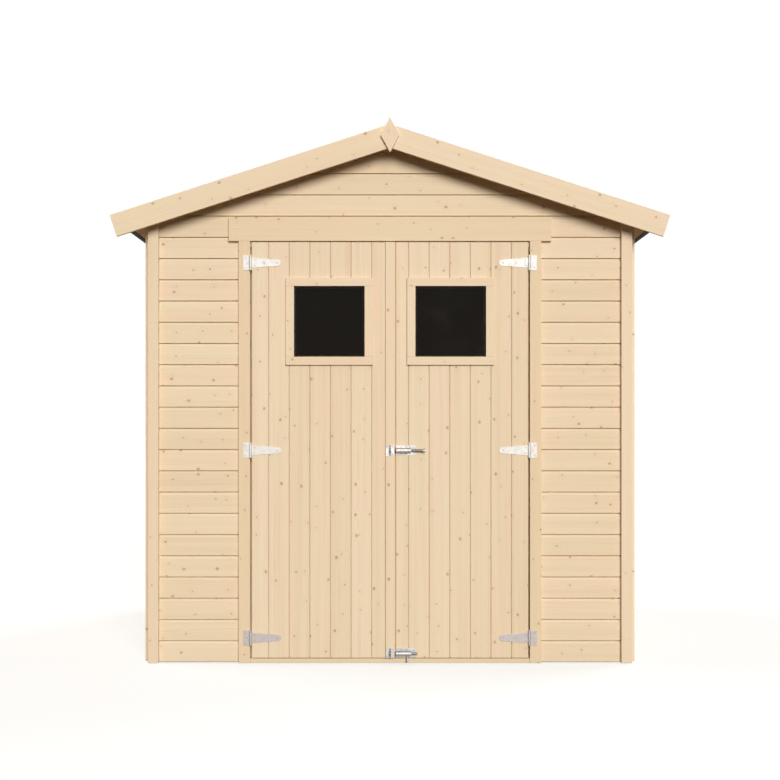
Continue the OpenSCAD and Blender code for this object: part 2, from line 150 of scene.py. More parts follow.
HANDLE_AT = 0.048  # the lower bolt's handle, from the start of the barrel
HANDLE_R = 0.003  # radius of the handle
HANDLE_END_R = 0.0034  # radius of its thicker end
HANDLE_TIP_R = 0.002  # radius of its rounded tip
KNOB_L = 0.010  # length of the upper bolt's knob
LOOP_T = 0.0025  # thickness of a keeper's loop
LOOP_HALF = 0.004  # half of its width
FOOT_T = 0.0012  # thickness of its feet, on the plate above and below the rod
FELT_T = 0.002  # thickness of the felt
FELT_RETURN = 0.020  # width of felt turned back under the eaves
FELT_LAP = 0.075  # overlap of the felt strips
LAP_X = 0.56  # distance of the middle of that overlap from the ridge
FELT_SHORT = 0.0005  # how far the felt stays back from the ends of the roof boards
CLOUT_R = 0.0045  # radius of a clout nail's head
CLOUT_IN = 0.02  # distance of clout nails from an edge of the felt
CAP_LIFT = 0.0012  # how much higher the rear half of the ridge felt lies, over the front half
SHARP = math.radians(20)  # faces that meet at less than this are shaded as one

strap_middle = (strap_low.z + strap_high.z) / 2
hinge_heights = [strap_low.z + STRAP_ROOT / 2, strap_middle, strap_high.z - STRAP_ROOT / 2]
upper_z = (upper_low.z + upper_high.z) / 2
rod_y = (lower_low.y + lower_high.y) / 2
rod_r = (lower_high.y - lower_low.y) / 2
lower_z = lower_high.z - rod_r


def under_roof(x):
    """Height of the underside of the roof boards."""
    return under_z - abs(x) * rise


# ---- Mesh helpers ----


class Shape:
    """A mesh being put together, with the grain and tone of each board in it."""

    def __init__(self):
        self.points = []
        self.faces = []
        self.grain = []
        self.tone = []

    def take(self, points, faces, board=None):
        """Adds one closed solid, with its faces turned outwards."""
        volume = 0.0
        for face in faces:
            first = points[face[0]]
            for i in range(1, len(face) - 1):
                volume += first.dot(points[face[i]].cross(points[face[i + 1]]))
        start = len(self.points)
        for face in faces:
            order = face if volume > 0 else face[::-1]
            self.faces.append([start + i for i in order])
        self.points.extend(points)
        for p in points:
            self.grain.append(board.grain(p) if board else Vector())
            self.tone.append(board.tone if board else 0.5)


class Board:
    """The directions of a board's grain, its place in the log it came from and how dark it is."""

    def __init__(self, along, across, centre):
        self.axes = (along, across, along.cross(across))
        self.centre = Vector(centre)
        self.log = Vector((rng.uniform(0, 60), rng.uniform(-0.03, 0.03), rng.uniform(0.012, 0.06)))
        self.tone = rng.random()

    def grain(self, point):
        local = point - self.centre
        return Vector([axis.dot(local) for axis in self.axes]) + self.log


class Finish:
    """Marks metal that is darker than plain zinc: the tone goes from 0.6, plain, to 0.9, dark."""

    def __init__(self, tone):
        self.tone = tone

    def grain(self, point):
        return Vector()


# Painted shade: the bolts' rods and keeper loops are darkened as if they lay in shadow
painted_shade_metal = Finish(0.9)
screw_head = Finish(0.72)


def lofted(rings, closed=False):
    """Points and faces of a solid through rings with as many points each; closed joins its ends."""
    count = len(rings[0])
    points = [Vector(p) for ring in rings for p in ring]
    faces = []
    for r in range(len(rings) if closed else len(rings) - 1):
        a = r * count
        b = (r + 1) % len(rings) * count
        for i in range(count):
            j = (i + 1) % count
            faces.append([a + i, a + j, b + j, b + i])
    if not closed:
        faces.append(list(range(count))[::-1])
        faces.append(list(range(len(points) - count, len(points))))
    return points, faces


def bevelled(points, faces, edge):
    """The same solid with its edges rounded."""
    solid = bmesh.new()
    verts = [solid.verts.new(p) for p in points]
    for face in faces:
        solid.faces.new([verts[i] for i in face])
    bmesh.ops.recalc_face_normals(solid, faces=solid.faces)
    edges = [e for e in solid.edges if e.calc_face_angle(0.0) > SHARP]
    how = {"segments": 2, "profile": 0.5, "affect": "EDGES", "clamp_overlap": True}
    bmesh.ops.bevel(solid, geom=edges, offset=edge, **how)
    solid.verts.index_update()
    points = [v.co.copy() for v in solid.verts]
    faces = [[v.index for v in f.verts] for f in solid.faces]
    solid.free()
    return points, faces


def add(shape, rings, board=None, edge=0.0, closed=False):
    """Adds a solid through rings of points, with its edges rounded if asked."""
    points, faces = lofted(rings, closed)
    if edge:
        points, faces = bevelled(points, faces, edge)
    shape.take(points, faces, board)


def box_rings(low, high):
    """The lower and the upper ring of a box."""
    corners = [(low[0], low[1]), (high[0], low[1]), (high[0], high[1]), (low[0], high[1])]
    return [[Vector((x, y, z)) for x, y in corners] for z in (low[2], high[2])]


def add_box(shape, low, high, along=None, across=None, edge=0.0):
    """A box; with grain directions it is a board of its own."""
    centre = (Vector(low) + Vector(high)) / 2
    board = Board(along, across, centre) if along else None
    add(shape, box_rings(low, high), board, edge)


def add_side_box(shape, side, low, high, along=None, across=None, edge=0.0):
    """A box given on the right-hand side and put on either side."""
    xs = sorted((side * low[0], side * high[0]))
    add_box(shape, (xs[0], low[1], low[2]), (xs[1], high[1], high[2]), along, across, edge)


def add_across(shape, outline, y0, y1, board=None, edge=0.0):
    """An outline in X and Z made solid from y0 to y1."""
    add(shape, [[Vector((x, y, z)) for x, z in outline] for y in (y0, y1)], board, edge)


def mirrored(outline, side):
    """An outline given on the right-hand side, put on either side."""
    return [(side * x, z) for x, z in outline]


def frame_of(direction):
    """Two directions at right angles to this one."""
    other = Z_AXIS if abs(direction.z) < 0.9 else X_AXIS
    first = direction.cross(other).normalized()
    return first, direction.cross(first)


def add_lathe(shape, start, direction, profile, sides=24, closed=False, finish=None):
    """A turned shape; the profile lists distances along the axis with their radius."""
    first, second = frame_of(direction)
    turns = [2 * math.pi * i / sides for i in range(sides)]
    rings = []
    for distance, radius in profile:
        centre = start + direction * distance
        rings.append([centre + first * radius * math.cos(a) + second * radius * math.sin(a) for a in turns])
    add(shape, rings, finish, closed=closed)


def rounded_rod(length, radius, edge):
    """Profile of a rod with rounded ends."""
    turns = [i * math.pi / 12 for i in range(7)]
    start = [(edge * (1 - math.cos(a)), radius - edge * (1 - math.sin(a))) for a in turns]
    end = [(length - d, r) for d, r in start[::-1]]
    return start + end


def add_screw(shape, at, normal, radius=0.0036, height=0.0007):
    """A cross-headed screw, standing on the point it is given."""
    at = Vector(at)
    inner = 0.6 * radius
    profile = [(0, radius), (0.5 * height, radius), (height, 0.78 * radius), (height, inner), (0, inner)]
    add_lathe(shape, at, normal, profile, sides=20, closed=True, finish=screw_head)
    first, second = frame_of(normal)
    turn = rng.uniform(0, math.pi / 2)
    slot_half = 0.13 * radius
    reach = inner * 1.02
    begin = math.asin(slot_half / reach)
    for quarter in range(4):
        corner = [(slot_half, slot_half)]
        for i in range(4):
            a = begin + (math.pi / 2 - 2 * begin) * i / 3
            corner.append((reach * math.cos(a), reach * math.sin(a)))
        a = turn + quarter * math.pi / 2
        ring = []
        for u, v in corner:
            p = u * math.cos(a) - v * math.sin(a)
            q = u * math.sin(a) + v * math.cos(a)
            ring.append(at + first * p + second * q)
        add(shape, [ring, [p + normal * height for p in ring]], screw_head)


def add_nail(shape, at, normal, radius=0.0016):
    """A nail head, slightly domed."""
    profile = [(0, radius), (0.0003, radius), (0.0005, 0.55 * radius)]
    add_lathe(shape, Vector(at), normal, profile, sides=8)


def build(shape, name, body, material, slot, *nodes):
    """Makes the piece, which rides on a body and stands for the CAD nodes named."""
    mesh = bpy.data.meshes.new(name)
    mesh.from_pydata(shape.points, [], shape.faces)
    mesh.update()
    grain = mesh.attributes.new("grain", "FLOAT_VECTOR", "POINT")
    grain.data.foreach_set("vector", [c for g in shape.grain for c in g])
    tone = mesh.attributes.new("tone", "FLOAT", "POINT")
    tone.data.foreach_set("value", shape.tone)
    mesh.polygons.foreach_set("use_smooth", [True] * len(mesh.polygons))
    mesh.set_sharp_from_angle(angle=SHARP)
    mesh.materials.append(material)
    piece = bpy.data.objects.new(name, mesh)
    bpy.context.scene.collection.objects.link(piece)
    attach(piece, body)
    if nodes:
        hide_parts(*nodes)


def build_boards(name, body, material, node, boxes):
    """A piece of trim made of planed boards, each with its corners and grain directions."""
    shape = Shape()
    for box in boxes:
        add_box(shape, *box, edge=EDGE)
    build(shape, name, body, material, "trim_wood", node)


# ---- Materials ----


class Nodes:
    """A short way to write the node tree of a material or of the world."""

    def __init__(self, owner):
        owner.use_nodes = True
        self.owner = owner
        self.tree = owner.node_tree
        self.tree.nodes.clear()

    def set(self, socket, value):
        if isinstance(value, bpy.types.NodeSocket):
            self.tree.links.new(value, socket)
        elif socket.type == "RGBA":
            socket.default_value = (*value, 1.0)
        else:
            socket.default_value = value

    def add(self, kind, settings=None, **values):
        """A node with its inputs filled by name."""
        node = self.tree.nodes.new("ShaderNode" + kind)
        for key, value in (settings or {}).items():
            setattr(node, key, value)
        for key, value in values.items():
            self.set(node.inputs[key.replace("_", " ")], value)
        return node

    def filled(self, kind, settings, *values):
        """The first output of a node with its inputs filled in order."""
        node = self.add(kind, settings)
        for i, value in enumerate(values):
            self.set(node.inputs[i], value)
        return node.outputs[0]

    def math(self, operation, *values, clamp=False):
        return self.filled("Math", {"operation": operation, "use_clamp": clamp}, *values)

    def plus(self, a, b, clamp=False):
        return self.math("ADD", a, b, clamp=clamp)

    def times(self, a, b):
        return self.math("MULTIPLY", a, b)

    def vector(self, x, y, z):
        return self.add("CombineXYZ", X=x, Y=y, Z=z).outputs[0]

    def mix(self, factor, a, b, blend="MIX"):
        node = self.add("Mix", {"data_type": "RGBA", "blend_type": blend})
        self.set(node.inputs[0], factor)
        self.set(node.inputs[6], a)
        self.set(node.inputs[7], b)
        return node.outputs[2]

    def between(self, value, low, high, to_low=0.0, to_high=1.0):
        """The value taken smoothly from one range to another."""
        smooth = {"interpolation_type": "SMOOTHSTEP"}
        return self.filled("MapRange", smooth, value, low, high, to_low, to_high)

    def noise(self, vector, scale, detail=2.0, roughness=0.5):
        """Noise with a scale of its own along each axis."""
        place = self.filled("VectorMath", {"operation": "MULTIPLY"}, vector, scale)
        node = self.add("TexNoise", Vector=place, Scale=1.0, Detail=detail, Roughness=roughness)
        return node.outputs["Fac"]

    def place(self):
        return self.add("TexCoord").outputs["Object"]

    def attribute(self, name, output):
        return self.add("Attribute", {"attribute_name": name}).outputs[output]

    def surface(self, **values):
        self.add("OutputMaterial", Surface=self.add("BsdfPrincipled", **values).outputs[0])
        return self.owner


def spruce(name, light, dark, order=None, sawn=False, contrast=1.0, knots=0.72):
    """Spruce with its growth rings, fibres and knots. Boards bring their own grain as an attribute;
    with an order of axes the grain follows the object's coordinates instead."""
    n = Nodes(bpy.data.materials.new(name))
    if order:
        place = n.place()
        axes = n.add("SeparateXYZ", Vector=place).outputs
        picked = [axes["XYZ".index(a)] for a in order]
        along = picked[0]
        across = n.math("PINGPONG", picked[1], 0.07)
        through = n.plus(n.math("PINGPONG", picked[2], 0.05), 0.02)
        tone = n.between(n.noise(place, (1.7, 1.7, 1.7), detail=0.0), 0.3, 0.7)
    else:
        grain = n.attribute("grain", "Vector")
        along, across, through = n.add("SeparateXYZ", Vector=grain).outputs
        tone = n.attribute("tone", "Fac")
    grain = n.vector(along, across, through)

    # Knots: a few cells of a pattern along the board hold one each
    cells = 12.0
    row = n.times(n.plus(across, n.times(tone, 7.0)), cells)
    knot_place = n.vector(n.times(along, 0.8 * cells), row, 0.0)
    spots = n.add("TexVoronoi", {"voronoi_dimensions": "2D"}, Vector=knot_place, Scale=1.0, Randomness=0.9)
    away = n.math("DIVIDE", spots.outputs["Distance"], cells)
    chance = n.add("SeparateColor", Color=spots.outputs["Color"]).outputs
    here = n.math("LESS_THAN", chance["Red"], knots)
    radius = n.plus(0.0018, n.times(n.math("POWER", chance["Green"], 2.2), 0.0036))
    knot = n.times(here, n.between(away, radius, n.plus(radius, 0.0012), 1.0, 0.0))
    heart = n.times(here, n.between(away, 0.0, n.times(radius, 0.8), 1.0, 0.0))
    swirl = n.times(here, n.between(away, 0.0, 0.022, 1.0, 0.0))

    # Growth rings around a pith that wanders along the board
    drift = n.times(n.math("SUBTRACT", n.noise(grain, (1.4, 1.0, 1.0)), 0.5), 0.05)
    side = n.plus(across, drift)
    from_pith = n.math("SQRT", n.plus(n.math("POWER", side, 2.0), n.math("POWER", through, 2.0)))
    jitter = n.times(n.noise(grain, (5.0, 90.0, 90.0)), 0.0016)
    ring_at = n.plus(n.plus(from_pith, jitter), n.times(swirl, 0.011))
    ring = n.math("FRACT", n.math("DIVIDE", ring_at, 0.0042))
    late = n.times(n.math("POWER", ring, 3.0), n.between(ring, 0.93, 1.0, 1.0, 0.0))
    patch = n.noise(grain, (1.1, 9.0, 9.0), detail=3.0)
    late = n.times(late, n.between(patch, 0.25, 0.7, 0.35, 1.0))

    # Fibres and long pale and dark streaks
    fibre = n.noise(grain, (9.0, 520.0, 520.0), detail=3.0, roughness=0.6)
    streak = n.noise(grain, (0.7, 38.0, 38.0), detail=3.0)

    depth = n.times(late, 0.34 * contrast)
    depth = n.plus(depth, n.times(n.between(streak, 0.38, 0.72), 0.20 * contrast))
    depth = n.plus(depth, n.times(n.between(fibre, 0.4, 0.8), 0.14 * contrast))
    depth = n.plus(depth, n.times(swirl, 0.10))
    depth = n.plus(depth, n.times(tone, 0.20 * contrast), clamp=True)
    colour = n.mix(depth, light, dark)
    rosy = n.between(n.noise(grain, (1.6, 6.0, 6.0), detail=1.0), 0.45, 0.62)
    rosier = n.mix(1.0, colour, (1.03, 0.97, 1.0), "MULTIPLY")
    colour = n.mix(n.times(rosy, 0.5), colour, rosier)
    bark = n.mix(chance["Blue"], (0.52, 0.34, 0.19), (0.29, 0.155, 0.07))
    colour = n.mix(n.times(knot, n.between(chance["Blue"], 0.0, 1.0, 0.9, 0.45)), colour, bark)
    colour = n.mix(n.times(heart, 0.3), colour, (0.50, 0.29, 0.14))

    rough = n.plus(0.68 if sawn else 0.50, n.times(fibre, 0.2))
    rough = n.math("SUBTRACT", rough, n.times(late, 0.08))
    height = n.plus(n.times(fibre, 0.6), n.times(late, 0.5))
    height = n.plus(height, n.times(knot, 0.4))
    if sawn:
        leaning = n.plus(along, n.times(across, 0.2))
        marks = n.math("SINE", n.times(leaning, 1500.0))
        height = n.plus(height, n.times(marks, 0.35))
    bump = n.add("Bump", Height=height, Strength=0.6 if sawn else 0.35, Distance=0.0005).outputs[0]
    return n.surface(Base_Color=colour, Roughness=rough, Normal=bump, Specular_IOR_Level=0.3, IOR=1.45)


def zinc_plate(name, pale, dull, low, metallic):
    """Zinc plating, slightly cloudy, with fine scratches; darker towards the ground as a painted dim
    reflection, and darker where the tone attribute asks: painted shade on the bolts' rods and loops, and
    somewhat darker screw heads.
    """
    n = Nodes(bpy.data.materials.new(name))
    place = n.place()
    cloud = n.noise(place, (45.0, 45.0, 45.0), detail=3.0)
    cells = n.add("TexVoronoi", Vector=place, Scale=260.0).outputs["Color"]
    spangle = n.add("SeparateColor", Color=cells).outputs["Red"]
    scratch = n.noise(place, (900.0, 900.0, 60.0), detail=2.0)
    # Painted reflection: the metal is darkened towards the ground, where the lower hinges reflect dimmer
    # surroundings
    painted_reflection_near_ground = n.between(n.add("SeparateXYZ", Vector=place).outputs["Z"], 0.1, 1.0, 1.0, 0.0)
    shade = n.plus(n.times(n.between(cloud, 0.3, 0.7), 0.7), n.times(spangle, 0.3))
    rough = n.plus(0.44, n.times(shade, 0.14))
    bump = n.add("Bump", Height=scratch, Strength=0.12, Distance=0.0002).outputs[0]
    tone = n.attribute("tone", "Fac")
    colour = n.mix(n.times(painted_reflection_near_ground, 0.8), n.mix(shade, pale, dull), low)
    # Painted shade where the tone is high: rods and keeper loops darkened as if in shadow; screw heads come
    # out somewhat darker
    colour = n.mix(n.between(tone, 0.6, 0.9), colour, (0.17, 0.155, 0.14))
    return n.surface(Base_Color=colour, Metallic=metallic, Roughness=rough, Normal=bump)


def bitumen_felt():
    """Black felt with mineral grains and the dust of its surface."""
    n = Nodes(bpy.data.materials.new("bitumen_felt"))
    place = n.place()
    grit = n.add("TexVoronoi", Vector=place, Scale=620.0).outputs
    spark = n.add("SeparateColor", Color=grit["Color"]).outputs["Red"]
    dust = n.noise(place, (3.0, 3.0, 3.0), detail=6.0, roughness=0.62)
    base = n.mix(n.between(dust, 0.35, 0.7), (0.014, 0.0133, 0.013), (0.036, 0.0345, 0.0335))
    colour = n.mix(n.between(spark, 0.80, 0.98), base, (0.12, 0.116, 0.112))
    height = n.plus(n.times(grit["Distance"], -1.0), n.times(dust, 0.6))
    bump = n.add("Bump", Height=height, Strength=0.7, Distance=0.0012).outputs[0]
    rough = n.between(spark, 0.0, 1.0, 0.95, 0.72)
    return n.surface(Base_Color=colour, Roughness=rough, Normal=bump, Specular_IOR_Level=0.3)


def window_glass():
    """Thin glass, smeared in places; mostly opaque and painted a near-black brown as the shade of the shed's
    inside, which shows through only faintly.
    """
    n = Nodes(bpy.data.materials.new("window_glass"))
    place = n.place()
    smear = n.noise(place, (7.0, 7.0, 5.0), detail=4.0, roughness=0.65)
    rough = n.between(smear, 0.45, 0.75, 0.02, 0.10)
    # Painted shade: the dark brown stands for the unlit inside of the shed
    colour = n.mix(n.between(smear, 0.5, 0.8), (0.0075, 0.0054, 0.0036), (0.016, 0.013, 0.009))
    return n.surface(Base_Color=colour, Roughness=rough, Alpha=0.72, IOR=1.45, Specular_IOR_Level=0.14)


cladding_wood = spruce("spruce_cladding", (0.815, 0.660, 0.462), (0.645, 0.468, 0.272))
door_wood = spruce("spruce_door_boards", (0.815, 0.660, 0.465), (0.645, 0.468, 0.278))
trim_wood = spruce("spruce_trims", (0.808, 0.652, 0.458), (0.655, 0.480, 0.286), contrast=0.8)
jamb_wood = spruce("spruce_jambs", (0.781, 0.619, 0.412), (0.633, 0.456, 0.257), contrast=0.8)
floor_wood = spruce("spruce_floor", (0.780, 0.590, 0.370), (0.600, 0.400, 0.210), sawn=True)
# Painted shade: the roof boards take a darker red-brown than the other spruce, for the shade under the eaves
roof_wood_painted_shade = spruce("spruce_roof_boards_painted_shade", (0.520, 0.335, 0.190), (0.380, 0.225, 0.120), sawn=True)
framing = {}
for order in ("XYZ", "YXZ", "ZXY"):
    name = "spruce_framing_" + order.lower()
    framing[order] = spruce(name, (0.820, 0.635, 0.410), (0.640, 0.440, 0.240), order, sawn=True)
zinc = zinc_plate("zinc_plate", (0.67, 0.645, 0.60), (0.59, 0.565, 0.53), (0.40, 0.35, 0.345), 0.18)
bolt_zinc = zinc_plate("bolt_zinc", (0.48, 0.47, 0.455), (0.30, 0.29, 0.285), (0.36, 0.35, 0.345), 0.85)
nail_metal = zinc_plate("nail_heads", (0.56, 0.43, 0.29), (0.44, 0.32, 0.20), (0.50, 0.38, 0.25), 0.25)
felt = bitumen_felt()
glass = window_glass()

# CAD nodes that stay in view take the grain along their length
STAYING = {
    "XYZ": ("gable_wall_rails", "gable_rafters"),
    "YXZ": ("floor_joists", "side_wall_rails", "ridge_beam", "purlins"),
    "ZXY": ("gable_wall_studs", "side_wall_studs"),
}
for order, nodes in STAYING.items():
    for node in nodes:
        mesh = frame["nodes"][node].data
        mesh.materials.clear()
        mesh.materials.append(framing[order])

# ---- Cladding ----


clad_end = jamb_x + UNDER_JAMB


def courses(limit):
    """Lower edges of the cladding boards that begin below a height."""
    return [i * COURSE for i in range(math.ceil(limit / COURSE))]


def without_doubles(outline):
    """An outline without the points that fall on the one before."""
    return [p for i, p in enumerate(outline) if math.dist(p, outline[i - 1]) > 1e-5]


def cladding_outline(low, top_limit):
    """Depth and height of a cladding board: square lower edge, flat face, scallop and tongue."""
    top = low + COURSE
    lip = low + LIP
    outline = [(0.0, lip + LIP_CUT), (0.0, top - COVE_H)]
    for i in range(1, 7):
        a = i * math.pi / 12
        outline.append((COVE_D * math.sin(a), top - COVE_H * math.cos(a)))
    back = clad_t - SLACK
    rabbet = LIP_D - SLACK
    outline += [(LIP_D, top), (LIP_D, top + TONGUE), (back, top + TONGUE), (back, low + TONGUE + SLACK)]
    outline += [(rabbet, low + TONGUE + SLACK), (rabbet, lip), (LIP_CUT, lip)]
    return without_doubles([(d, min(h, top_limit(d))) for d, h in outline])


def clad_gable_wall(shape, front):
    """The boards of an end wall, cut to the slope of the roof."""
    side = -1 if front else 1
    for low in courses(under_z - 0.02):
        outline = cladding_outline(low, lambda depth: under_z - 0.002)
        beside_doorway = front and low + COURSE <= stop_z
        for parts in ((-1, 0), (0, 1)) if beside_doorway else ((-1, 1),):
            board = Board(X_AXIS, Z_AXIS, (0, side * wall_y, low + COURSE / 2))
            if front and low < stop_z < low + COURSE:
                add_notched_board(shape, outline, board)
                continue
            rings = []
            for end in parts:
                ring = []
                for depth, height in outline:
                    reach = max(min(wall_x, (under_z - height) / rise) - SLACK, 0.001)
                    x = end * reach if end else sum(parts) * clad_end
                    ring.append(Vector((x, side * (wall_y - depth), height)))
                rings.append(ring)
            add(shape, rings, board)


def add_notched_board(shape, outline, board):
    """The board at the head of the doorway: whole beside it, and only its upper part over it."""
    above = without_doubles([(d, max(h, stop_z)) for d, h in outline])
    parts = ((-wall_x, -clad_end, outline), (-clad_end, clad_end, above), (clad_end, wall_x, outline))
    for x0, x1, part in parts:
        add(shape, [[Vector((x, -(wall_y - d), h)) for d, h in part] for x in (x0, x1)], board)


def clad_side_wall(shape, side):
    """The boards of a side wall between the corner posts."""
    for low in courses(under_roof(wall_x) - 0.01):
        outline = cladding_outline(low, lambda depth: under_roof(wall_x - depth) - 0.001)
        board = Board(Y_AXIS, Z_AXIS, (side * wall_x, 0, low + COURSE / 2))
        ends = (-inner_y, inner_y)
        add(shape, [[Vector((side * (wall_x - d), y, h)) for d, h in outline] for y in ends], board)


front = Shape()
clad_gable_wall(front, True)
front_nodes = ("front_wall_left", "front_wall_right", "front_gable")
build(front, "front_cladding", "shed", cladding_wood, "cladding", *front_nodes)
back = Shape()
clad_gable_wall(back, False)
build(back, "back_cladding", "shed", cladding_wood, "cladding", "back_wall")
for name, side in SIDES:
    wall = Shape()
    clad_side_wall(wall, side)
    build(wall, name + "_cladding", "shed", cladding_wood, "cladding", name + "_wall")

# ---- Floor ----


def equal_boards(half, width):
    """Both edges of each of the equal boards, about this wide, that fill the room from -half to half."""
    count = round(2 * half / width)
    step = 2 * half / count
    return [(-half + i * step, -half + (i + 1) * step) for i in range(count)]


boards = Shape()
for y0, y1 in equal_boards(inner_y, FLOOR_BOARD):
    low = (-inner_x, y0 + SLACK, floor_under)
    add_box(boards, low, (inner_x, y1 - SLACK, floor_top), X_AXIS, Y_AXIS, edge=FLOOR_EDGE)
build(boards, "floor_boarding", "shed", floor_wood, "floor_wood", "floor_boards")

sill = Shape()
sill_low, sill_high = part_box("door_threshold")
frame_y = -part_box("gable_wall_rails")[0].y
rail_low = (-stop_x, -frame_y, sill_low.z)
add_box(sill, rail_low, (stop_x, sill_high.y, sill_high.z), X_AXIS, Z_AXIS, edge=SOFT_EDGE)
sill_top = leaf_low.z - SILL_GAP
add_box(sill, (-stop_x, -wall_y, sill_low.z), (stop_x, -frame_y, sill_top), X_AXIS, Y_AXIS)
add_box(sill, sill_low, (sill_high.x, -wall_y, sill_top), X_AXIS, Y_AXIS, edge=EDGE)
build(sill, "threshold", "shed", jamb_wood, "floor_wood", "door_threshold")

# ---- Trims ----


def add_post(shape, x0, x1, y0, y1):
    """An upright trim from the ground up to the roof boards."""
    outline = [(x0, 0.0), (x1, 0.0), (x1, under_roof(x1)), (x0, under_roof(x0))]
    across = X_AXIS if abs(x1 - x0) > abs(y1 - y0) else Y_AXIS
    centre = ((x0 + x1) / 2, (y0 + y1) / 2, 1.0)
    add_across(shape, outline, y0, y1, Board(Z_AXIS, across, centre), EDGE)


for node in ("front_corner_trims", "back_corner_trims"):
    low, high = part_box(node)
    trims = Shape()
    for side in (-1, 1):
        add_post(trims, side * (wall_x - TRIM_W), side * wall_x, low.y, high.y)
    build(trims, node.replace("trims", "boards"), "shed", trim_wood, "trim_wood", node)

trims = Shape()
side_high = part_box("side_corner_trims")[1]
for side in (-1, 1):
    for end in (-1, 1):
        add_post(trims, side * wall_x, side * side_high.x, end * (side_high.y - TRIM_W), end * side_high.y)
build(trims, "side_corner_boards", "shed", trim_wood, "trim_wood", "side_corner_trims")

for name in ("door_jamb_left", "door_jamb_right"):
    box = (*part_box(name), Z_AXIS, X_AXIS)
    build_boards(name.replace("jamb", "jamb_trim"), "shed", jamb_wood, name, [box])

header_low, header_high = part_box("door_header")
header_top = (header_high.x, header_high.y, header_high.z - HEADER_CUT)
build_boards("header_board", "shed", jamb_wood, "door_header", [(header_low, header_top, X_AXIS, Z_AXIS)])

# ---- Roof ----

barge_low, barge_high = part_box("bargeboards_right")
barge_w = (barge_high.z - barge_high.x * rise - barge_low.z) / math.cos(slope)
finial_low, finial_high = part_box("finials")

for name, side in SIDES:
    # Boards from the ridge down to the eave, with small chamfers at their joints underneath
    deck = Shape()
    down = Vector((side * math.cos(slope), 0, -math.sin(slope)))
    for start, end in equal_boards(deck_y, ROOF_BOARD):
        y0 = start + SLACK / 2
        y1 = end - SLACK / 2
        outline = [(y0, 0.0), (y1, 0.0), (y1, 0.8), (y1 - VEE, 1.0), (y0 + VEE, 1.0), (y0, 0.8)]
        board = Board(down, Y_AXIS, (side * deck_x / 2, (y0 + y1) / 2, deck_z - deck_x / 2 * rise))
        rings = []
        for x in (SLACK, deck_x):
            top = deck_z - x * rise
            rings.append([Vector((side * x, y, top - part * deck_drop)) for y, part in outline])
        add(deck, rings, board)
    build(deck, f"roof_boarding_{name}", "shed", roof_wood_painted_shade, "roof_boards", f"roof_deck_{name}")

    # Bargeboards at both ends, plumb at the ridge and square at their lower ends
    barge = Shape()
    end_z = barge_high.z - barge_high.x * rise
    outline = [
        (SLACK, barge_high.z),
        (SLACK, barge_high.z - barge_w / math.cos(slope)),
        (barge_high.x - barge_w * math.sin(slope), end_z - barge_w * math.cos(slope)),
        (barge_high.x, end_z),
    ]
    for end in (-1, 1):
        board = Board(down, Vector((side * math.sin(slope), 0, math.cos(slope))), (0, 0, end_z))
        add_across(barge, mirrored(outline, side), end * deck_y, end * barge_high.y, board, EDGE)
    build(barge, f"barge_{name}", "shed", trim_wood, "trim_wood", f"bargeboards_{name}")

diamonds = Shape()
for end in (-1, 1):
    middle = (finial_low.z + finial_high.z) / 2
    outline = [(0, finial_high.z), (finial_high.x, middle), (0, finial_low.z), (finial_low.x, middle)]
    board = Board(Z_AXIS, X_AXIS, (0, end * finial_high.y, middle))
    inside = end * (finial_high.y - FINIAL_T)
    add_across(diamonds, outline, inside, end * finial_high.y, board, FINIAL_EDGE)
build(diamonds, "finial_diamonds", "shed", trim_wood, "trim_wood", "finials")


def add_felt_strip(shape, side, path, rows=60):
    """A strip of felt that follows a path in X and Z, with the small waves of felt that has been laid."""
    normals = []
    for i in range(len(path)):
        a = Vector(path[max(i - 1, 0)])
        b = Vector(path[min(i + 1, len(path) - 1)])
        d = (b - a).normalized()
        normals.append(Vector((d.y, -d.x)))
    rings = []
    for r in range(rows + 1):
        y = -deck_y + FELT_SHORT + r * 2 * (deck_y - FELT_SHORT) / rows
        outer = []
        inner = []
        for (x, z), normal in zip(path, normals):
            wave = 0.0007 * noise.noise(Vector((x * 9 + 31 * side, y * 7, z * 9)))
            outer.append(Vector((side * (x - normal.x * wave), y, z - normal.y * wave)))
            inner.append(Vector((side * (x + normal.x * FELT_T), y, z + normal.y * FELT_T)))
        rings.append(outer + inner[::-1])
    add(shape, rings)


def felt_top(x):
    """Height of the top of the felt."""
    return felt_z - x * rise


for name, side in SIDES:
    sheet = Shape()
    path = [(x, felt_top(x)) for x in [LAP_X - 0.5 * FELT_LAP + i * 0.0373 for i in range(16)]]
    path = [p for p in path if p[0] < deck_x - 0.004]
    corner_z = felt_top(felt_x)
    under = corner_z - deck_drop - 2.2 * FELT_T
    path += [
        (deck_x - 0.002, felt_top(deck_x - 0.002)),
        (felt_x - 0.0004, corner_z - 0.0008),
        (felt_x, corner_z - 0.003),
        (felt_x, under + 0.003),
        (felt_x - 0.0012, under + 0.0006),
        (felt_x - FELT_RETURN * 0.5, under + FELT_RETURN * 0.5 * rise),
        (felt_x - FELT_RETURN, under + FELT_RETURN * rise),
    ]
    add_felt_strip(sheet, side, path)
    # The upper strip laps over the lower one
    upper = []
    for i in range(17):
        x = 0.001 + i * (LAP_X + 0.5 * FELT_LAP) / 16
        lift = FELT_T * min(max((x - LAP_X + 0.5 * FELT_LAP + 0.02) / 0.02, 0.0), 1.0)
        upper.append((x, felt_top(x) + lift))
    add_felt_strip(sheet, side, upper)
    build(sheet, f"felt_{name}", "shed", felt, "roofing_felt", f"roof_felt_{name}")

